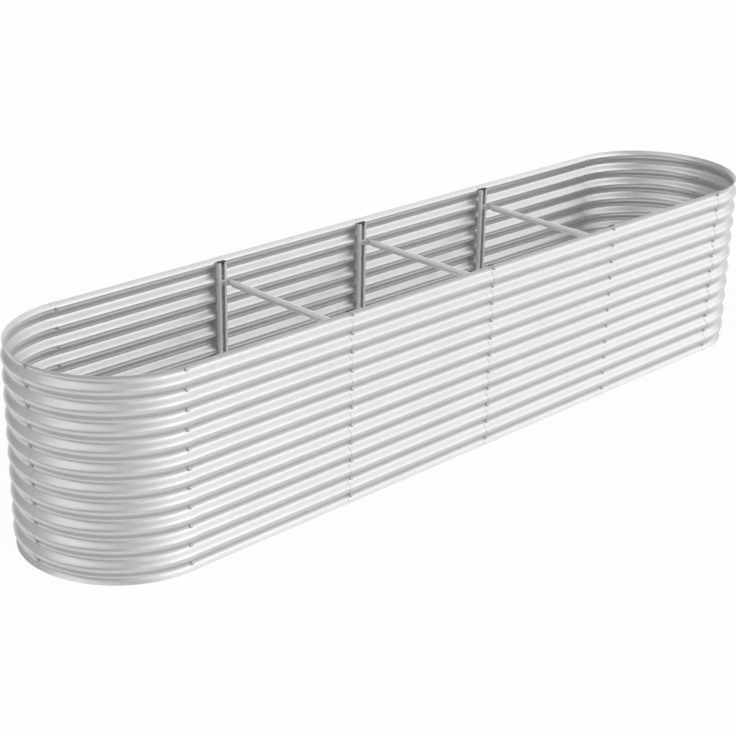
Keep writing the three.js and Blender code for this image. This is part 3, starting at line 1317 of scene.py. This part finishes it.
@dataclass
class Fasteners:
    """The button-head bolts and hexagon nuts of all the seams.

    A bolt is modelled along +Y with the underside of its head in the plane y = 0, and a nut with
    its seat there.

    Attributes:
        plan: the bed's plan.
        post: the posts, whose webs carry the nuts of their seams.
        brace: the braces, whose feet carry the nuts of the long bolts.
        shank: diameter of the bolts, metres.
        head: diameter of a head, metres.
        head_height: of a head, metres.
        head_rim: height of the straight edge under the dome, metres.
        socket: width of the hexagon socket across its flats, metres.
        socket_depth: of the socket, metres.
        socket_land: flat ring round the socket's corners, metres.
        nut: width of a nut across its flats, metres.
        nut_height: of a nut, metres.
        nut_face_share: a nut's round end face, as a share of its width across flats.
        chamfer: of a nut's corners and of a bolt's tip, metres.
        tip: how far a bolt stands out of its nut, metres.
        sides: points round a head or a nut: two for each side of a hexagon.
        dome_steps: rings up the dome.
    """

    plan: Plan
    post: ChannelPost
    brace: TubeBrace
    shank: float = 6.0 * MM
    head: float = 10.5 * MM
    head_height: float = 3.5 * MM
    head_rim: float = 0.8 * MM
    socket: float = 4.0 * MM
    socket_depth: float = 1.8 * MM
    socket_land: float = 0.3 * MM
    nut: float = 10.0 * MM
    nut_height: float = 5.0 * MM
    nut_face_share: float = 0.96
    chamfer: float = 0.5 * MM
    tip: float = 2.0 * MM
    sides: int = 12
    dome_steps: int = 3

    @property
    def head_seat(self) -> float:
        """From the middle plane to the underside of a head that bridges a valley."""
        wave = self.plan.wave
        rise = wave.out(wave.margin + self.head / 2.0) - wave.out(wave.margin)
        return self.plan.valley_outside + rise

    def disc(self, name: str, radius: float, low: float, high: float) -> bpy.types.Object:
        """A short cylinder about the Y axis.

        Args:
            name: the object's name.
            radius: of its points.
            low: the y of one end.
            high: the y of the other end.

        Returns:
            The new object, at the origin.
        """
        cylinder = bpy.ops.mesh.primitive_cylinder_add
        piece = primitive(name, cylinder, vertices=self.sides, radius=radius, depth=high - low)
        middle = Matrix.Translation((0.0, (low + high) / 2.0, 0.0))
        return place(piece, middle @ Matrix.Rotation(math.pi / 2.0, 4, "X"))

    def pick_end(self, piece: bpy.types.Object, level: float, radius: float) -> None:
        """Selects the end face of a piece.

        Args:
            piece: the piece in edit mode.
            level: where the face lies along Y.
            radius: of the face's outermost points.
        """
        limit = radius + SAME_PLACE
        pick(piece, lambda at: abs(at.y - level) < SAME_PLACE and math.hypot(at.x, at.z) < limit)

    def pick_flats(self, piece: bpy.types.Object, level: float, radius: float) -> None:
        """Selects every other point of an end face: those in the middle of a hexagon's sides.

        Args:
            piece: the piece in edit mode.
            level: where the face lies along Y.
            radius: of the face's outermost points.
        """
        step = 2.0 * math.pi / self.sides

        def on_flat(at: Vector) -> bool:
            """Whether a point belongs to the face and lies between two corners."""
            on_face = abs(at.y - level) < SAME_PLACE
            on_face = on_face and math.hypot(at.x, at.z) < radius + SAME_PLACE
            return on_face and round(math.atan2(at.z, at.x) / step) % 2 == 1

        pick(piece, on_flat)

    def scale_round(self, factor: float) -> None:
        """Scales what is selected about the Y axis."""
        stretch((factor, 1.0, factor), Vector())

    def draw_on(
        self, piece: bpy.types.Object, level: float, radius: float, reach: float, new_radius: float
    ) -> None:
        """Extrudes an end face along Y and changes its radius.

        Args:
            piece: the piece in edit mode.
            level: where the face lies along Y.
            radius: of the face.
            reach: how far it moves along Y.
            new_radius: its radius afterwards.
        """
        self.pick_end(piece, level, radius)
        extrude(INWARD * reach)
        self.scale_round(new_radius / radius)

    def bolt(self, name: str, length: float) -> bpy.types.Object:
        """A button-head bolt with a hexagon socket.

        Args:
            name: the object's name.
            length: from the underside of the head to the tip.

        Returns:
            The bolt, along +Y from its head.
        """
        radius = self.head / 2.0
        shank_radius = self.shank / 2.0
        socket_corner = self.socket / 2.0 / FLAT_SHARE
        top_radius = socket_corner + self.socket_land
        top_angle = math.asin(top_radius / radius)
        dome = (self.head_height - self.head_rim) / math.cos(top_angle)
        bolt = self.disc(name, radius, -self.head_rim, 0.0)
        with editing(bolt):
            level, now = -self.head_rim, radius
            for step in range(1, self.dome_steps + 1):
                angle = math.pi / 2.0 + (top_angle - math.pi / 2.0) * step / self.dome_steps
                new_level = -self.head_rim - dome * math.cos(angle)
                new_radius = radius * math.sin(angle)
                self.draw_on(bolt, level, now, new_level - level, new_radius)
                level, now = new_level, new_radius
            self.draw_on(bolt, level, now, 0.0, socket_corner)
            self.pick_flats(bolt, level, socket_corner)
            self.scale_round(FLAT_SHARE)
            self.pick_end(bolt, level, socket_corner)
            extrude(INWARD * self.socket_depth)
            self.draw_on(bolt, 0.0, radius, 0.0, shank_radius)
            self.pick_end(bolt, 0.0, shank_radius)
            extrude(INWARD * (length - self.chamfer))
            tip_radius = shank_radius - self.chamfer
            self.draw_on(bolt, length - self.chamfer, shank_radius, self.chamfer, tip_radius)
        smooth(bolt)
        return bolt

    def nut_ring(self, name: str) -> bpy.types.Object:
        """A hexagon nut with chamfered corners and a bore, its seat in the plane y = 0.

        Args:
            name: the object's name.

        Returns:
            The nut, reaching along +Y.
        """
        corner = self.nut / 2.0 / FLAT_SHARE
        face_radius = self.nut / 2.0 * self.nut_face_share
        bore = self.shank / 2.0
        low, high = self.chamfer, self.nut_height - self.chamfer
        nut = self.disc(name, corner, low, high)
        with editing(nut):
            for level, reach in ((low, -self.chamfer), (high, self.chamfer)):
                self.pick_flats(nut, level, corner)
                self.scale_round(FLAT_SHARE)
                self.draw_on(nut, level, corner, reach, face_radius)
                face = level + reach
                self.pick_flats(nut, face, face_radius)
                self.scale_round(1.0 / FLAT_SHARE)
                self.draw_on(nut, face, face_radius, 0.0, bore)
                self.pick_end(nut, face, bore)
                bpy.ops.mesh.delete(type="FACE")
            pick(nut, lambda at: math.hypot(at.x, at.z) < bore + SAME_PLACE)
            bpy.ops.mesh.bridge_edge_loops()
        settle_normals(nut)
        smooth(nut)
        return nut

    def label(self, seam: int, side: Side) -> str:
        """The name of a seam.

        Args:
            seam: its count in its half of the bed.
            side: the half.
        """
        near = side is Side.FRONT
        if seam == 0:
            return "left_end" if near else "right_end"
        if seam == 1:
            return "front_left" if near else "back_right"
        if seam == self.plan.last_corner:
            return "front_right" if near else "back_left"
        number = seam - 1 if near else self.plan.last_corner - seam
        return f"{side.value}_{number}"

    def seam_matrix(self, seam: int) -> Matrix:
        """Where the pieces of a near seam go, from a seam at x = 0 on the near side."""
        turn = Matrix.Rotation(-math.pi / 2.0 if seam == 0 else 0.0, 4, "Z")
        return Matrix.Translation((self.plan.seam_x(max(seam, 1)), 0.0, 0.0)) @ turn

    def stack(
        self, name: str, pattern: bpy.types.Object, depth: float, rows: Sequence[int]
    ) -> list[bpy.types.Object]:
        """Copies of a bolt or a nut at several valleys of a seam, each turned a little further.

        Args:
            name: the start of the copies' names.
            pattern: the bolt or the nut.
            depth: from the bed's middle plane to its plane y = 0.
            rows: the valleys, counted from the ground.

        Returns:
            The copies, at x = 0 on the near side.
        """
        heights = self.plan.wave.valley_heights()
        copies = []
        for row in rows:
            spot = Matrix.Translation((0.0, -depth, heights[row]))
            turn = Matrix.Rotation(row * TIGHTENING_TURN, 4, "Y")
            copies.append(copied(pattern, f"{name}_{row}", spot @ turn))
        return copies

    def build(self, finish: bpy.types.Material) -> None:
        """Models the bolts and nuts of every seam and dresses them.

        Args:
            finish: the fasteners' material.
        """
        brace_row = self.plan.wave.valleys - self.brace.valley
        long_seat = self.brace.foot_plane - self.brace.foot_thickness - self.brace.seat_gap
        nut = self.nut_ring("nut_pattern")
        for seam in range(self.plan.last_corner + 1):
            post = self.plan.has_post(seam)
            rows = [row for row in range(self.plan.wave.valleys) if not (post and row == brace_row)]
            sets = {"seam_bolts": (self.post.web_inside if post else self.plan.valley_inside, rows)}
            if post:
                sets["long_bolt"] = (long_seat, [brace_row])
            for kind, (nut_seat, wanted) in sets.items():
                end = nut_seat - self.nut_height - self.tip
                bolt = self.bolt("bolt_pattern", self.head_seat - end)
                bolts = joined("bolts", self.stack("bolt", bolt, self.head_seat, wanted))
                nuts = joined("nuts", self.stack("nut", nut, nut_seat, wanted))
                discard(bolt)
                self.hand_out(seam, kind, bolts, nuts, finish)
        discard(nut)

    def hand_out(
        self,
        seam: int,
        kind: str,
        bolts: bpy.types.Object,
        nuts: bpy.types.Object,
        finish: bpy.types.Material,
    ) -> None:
        """Copies a set of bolts and nuts to a near seam and its far twin, and dresses them.

        Args:
            seam: the near seam.
            kind: the set's name.
            bolts: the bolts, at x = 0 on the near side. They are used up.
            nuts: the nuts. They are used up.
            finish: the fasteners' material.
        """
        for side in Side:
            spot = side.turn @ self.seam_matrix(seam)
            label = self.label(seam, side)
            bolt_nodes, nut_nodes = [], []
            if kind == "long_bolt":
                bolt_nodes, nut_nodes = [f"brace_bolt_{label}"], [f"brace_nut_{label}"]
            bolt_name = f"{kind}_{label}"
            nut_name = bolt_name.replace("bolt", "nut")
            dress(copied(bolts, bolt_name, spot), finish, Slot.FASTENER, bolt_nodes)
            dress(copied(nuts, nut_name, spot), finish, Slot.FASTENER, nut_nodes)
        discard(bolts)
        discard(nuts)


# ---- Studio ------------------------------------------------------------------------------------


def direction(azimuth: float, elevation: float) -> Vector:
    """The way to a point of the room.

    Args:
        azimuth: degrees from +Y towards +X.
        elevation: above the horizon, degrees.

    Returns:
        A vector of length 1.
    """
    turn, rise = math.radians(azimuth), math.radians(elevation)
    return Vector((math.sin(turn) * math.cos(rise), math.cos(turn) * math.cos(rise), math.sin(rise)))


@dataclass(frozen=True)
class Softbox:
    """A soft lamp that faces the bed.

    Attributes:
        name: the lamp's name.
        azimuth: where it stands, degrees from +Y towards +X.
        elevation: above the horizon, degrees.
        distance: from the bed, metres.
        width: metres.
        height: metres.
        level: how bright its face is, where white paper in full light is 1.
    """

    name: str
    azimuth: float
    elevation: float
    distance: float
    width: float
    height: float
    level: float

    def build(self, target: Vector) -> None:
        """Adds the lamp.

        Args:
            target: the point that it faces.
        """
        lamp = bpy.data.lights.new(self.name, "AREA")
        lamp.shape = "RECTANGLE"
        lamp.size = self.width
        lamp.size_y = self.height
        lamp.energy = 4.0 * self.width * self.height * self.level
        towards = direction(self.azimuth, self.elevation)
        holder = bpy.data.objects.new(self.name, lamp)
        bpy.context.scene.collection.objects.link(holder)
        holder.location = target + towards * self.distance
        holder.rotation_mode = "QUATERNION"
        holder.rotation_quaternion = towards.to_track_quat("Z", "Y")


SOFTBOXES = (
    Softbox("key", 132.0, 12.0, 8.0, 9.0, 3.0, 0.32),
    Softbox("front", 172.0, 22.0, 8.0, 6.0, 5.0, 0.25),
)


@dataclass(frozen=True)
class Glow:
    """A round patch of soft light on the room's walls, brightest in the middle.

    Attributes:
        name: the node's name.
        azimuth: where it is, degrees from +Y towards +X.
        elevation: above the horizon, degrees.
        reach: from its middle to where it has faded out, degrees.
        level: how bright its middle is, where white paper in full light is 1.
        core: from its middle to where it begins to fade, degrees.
    """

    name: str
    azimuth: float
    elevation: float
    reach: float
    level: float
    core: float = 5.0

    def build(self, tree: bpy.types.NodeTree, way: bpy.types.NodeSocket) -> bpy.types.NodeSocket:
        """Adds the nodes that say how bright the patch is in each direction.

        Args:
            tree: the world's node tree.
            way: the direction.

        Returns:
            The output that holds the brightness.
        """
        nearness = add_node(
            tree,
            "ShaderNodeVectorMath",
            {"operation": "DOT_PRODUCT"},
            {0: way, 1: direction(self.azimuth, self.elevation)},
        )
        patch = add_node(
            tree,
            "ShaderNodeMapRange",
            {"interpolation_type": "SMOOTHSTEP", "label": self.name},
            {
                "Value": nearness.outputs["Value"],
                "From Min": math.cos(math.radians(self.reach)),
                "From Max": math.cos(math.radians(self.core)),
                "To Max": self.level,
            },
        )
        return patch.outputs["Result"]


GLOWS = (
    Glow("front", 135.0, 8.0, 55.0, 0.72),
    Glow("front_high", 140.0, 42.0, 40.0, 0.43),
    Glow("near_side", 178.0, 22.0, 42.0, 0.84),
    Glow("right", 90.0, 18.0, 42.0, 0.42),
    Glow("left_front", -150.0, 24.0, 42.0, 0.12),
    Glow("left", -76.0, 38.0, 24.0, 0.98),
    Glow("left_high", -106.0, 54.0, 24.0, 0.56),
    Glow("over_left", -110.0, 70.0, 30.0, 0.32),
    Glow("back_left", -45.0, 28.0, 42.0, 0.26),
    Glow("back_right", 45.0, 24.0, 42.0, 0.75),
)


@dataclass
class Studio:
    """A plain pale floor, soft lamps, a pale room and the photograph's camera.

    Attributes:
        lens: focal length, millimetres.
        sensor: width of the sensor, millimetres.
        place: of the camera, metres.
        azimuth: of its view, degrees from +Y towards +X.
        drop: of its view below the horizon, degrees.
        roll: degrees.
        target: what the lamps face, metres.
        floor_size: metres.
        floor_colour: sRGB.
        floor_glow: the share of the floor that the lens and the metal see glowing.
        room_level: strength of the room's walls apart from the glows.
    """

    lens: float = 78.82
    sensor: float = 36.0
    place: tuple[float, float, float] = (-3.572, -3.3683, 2.2208)
    azimuth: float = 44.669
    drop: float = 22.746
    roll: float = 1.058
    target: tuple[float, float, float] = (0.0, 0.0, 0.3)
    floor_size: float = 160.0
    floor_colour: str = "#f7f7f6"
    floor_glow: float = 0.94
    room_level: float = 0.34

    def camera(self) -> None:
        """Sets the camera where the photograph was taken from."""
        turn, drop, roll = (math.radians(a) for a in (self.azimuth, self.drop, self.roll))
        ahead = Vector(
            (math.sin(turn) * math.cos(drop), math.cos(turn) * math.cos(drop), -math.sin(drop))
        )
        right = Vector((math.cos(turn), -math.sin(turn), 0.0))
        over = right.cross(ahead)
        image_right = right * math.cos(roll) + over * math.sin(roll)
        image_up = over * math.cos(roll) - right * math.sin(roll)
        lens = bpy.data.cameras.new("camera")
        lens.sensor_width = self.sensor
        lens.lens = self.lens
        lens.clip_end = 2.0 * self.floor_size
        holder = bpy.data.objects.new("camera", lens)
        bpy.context.scene.collection.objects.link(holder)
        axes = Matrix((image_right, image_up, -ahead)).transposed().to_4x4()
        holder.matrix_world = Matrix.Translation(self.place) @ axes
        bpy.context.scene.camera = holder

    def floor(self) -> None:
        """Adds the floor: a wide sheet of white matt paper.

        The lens and the metal see it part glowing, as a sheet lit from below does, so it shows
        white inside the bed too, and the bed's shadow on it is faint.
        """
        sheet = primitive("floor", bpy.ops.mesh.primitive_plane_add, size=self.floor_size)
        paper = bpy.data.materials.new("floor_paper")
        tree = emptied(paper)
        matt = add_node(
            tree,
            "ShaderNodeBsdfDiffuse",
            links={"Color": linear(self.floor_colour), "Roughness": 1.0},
        )
        glow = add_node(tree, "ShaderNodeEmission", links={"Color": WHITE, "Strength": 1.0})
        rays = add_node(tree, "ShaderNodeLightPath").outputs
        seen = rays["Is Camera Ray"]
        for kind in ("Is Glossy Ray", "Is Transmission Ray"):
            seen = add_node(
                tree, "ShaderNodeMath", {"operation": "MAXIMUM"}, {0: seen, 1: rays[kind]}
            ).outputs["Value"]
        share = add_node(
            tree, "ShaderNodeMath", {"operation": "MULTIPLY"}, {0: seen, 1: self.floor_glow}
        )
        mixed = add_node(
            tree,
            "ShaderNodeMixShader",
            links={0: share.outputs["Value"], 1: matt.outputs["BSDF"], 2: glow.outputs["Emission"]},
        )
        add_node(tree, "ShaderNodeOutputMaterial", links={"Surface": mixed.outputs["Shader"]})
        sheet.data.materials.append(paper)

    def room(self) -> None:
        """Sets the world: a plain grey room with soft glows on its walls and ceiling."""
        world = bpy.data.worlds.new("room")
        bpy.context.scene.world = world
        tree = emptied(world)
        way = add_node(tree, "ShaderNodeTexCoord").outputs["Generated"]
        level = self.room_level
        for glow in GLOWS:
            level = add_node(
                tree, "ShaderNodeMath", {"operation": "ADD"}, {0: level, 1: glow.build(tree, way)}
            ).outputs["Value"]
        walls = add_node(
            tree, "ShaderNodeBackground", links={"Color": WHITE, "Strength": level}
        )
        add_node(tree, "ShaderNodeOutputWorld", links={"Surface": walls.outputs["Background"]})

    def build(self) -> None:
        """Builds the whole studio."""
        for softbox in SOFTBOXES:
            softbox.build(Vector(self.target))
        self.floor()
        self.room()
        self.camera()
        bpy.context.scene.view_settings.view_transform = "Standard"


def main() -> None:
    """Loads the frame and builds the bed round it, then the studio."""
    logging.basicConfig(level=logging.INFO, format="%(name)s: %(message)s")
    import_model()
    plan = Plan()
    post = ChannelPost(plan)
    brace = TubeBrace(plan, post)
    CorrugatedWall(plan).build(SHEET_FINISH.material())
    post.build(POST_FINISH.material())
    PostPlug(post).build(PLUG_FINISH.material())
    brace.build(TUBE_FINISH.material())
    Fasteners(plan, post, brace).build(PLATED_FINISH.material())
    Studio().build()


if __name__ == "__main__":
    main()
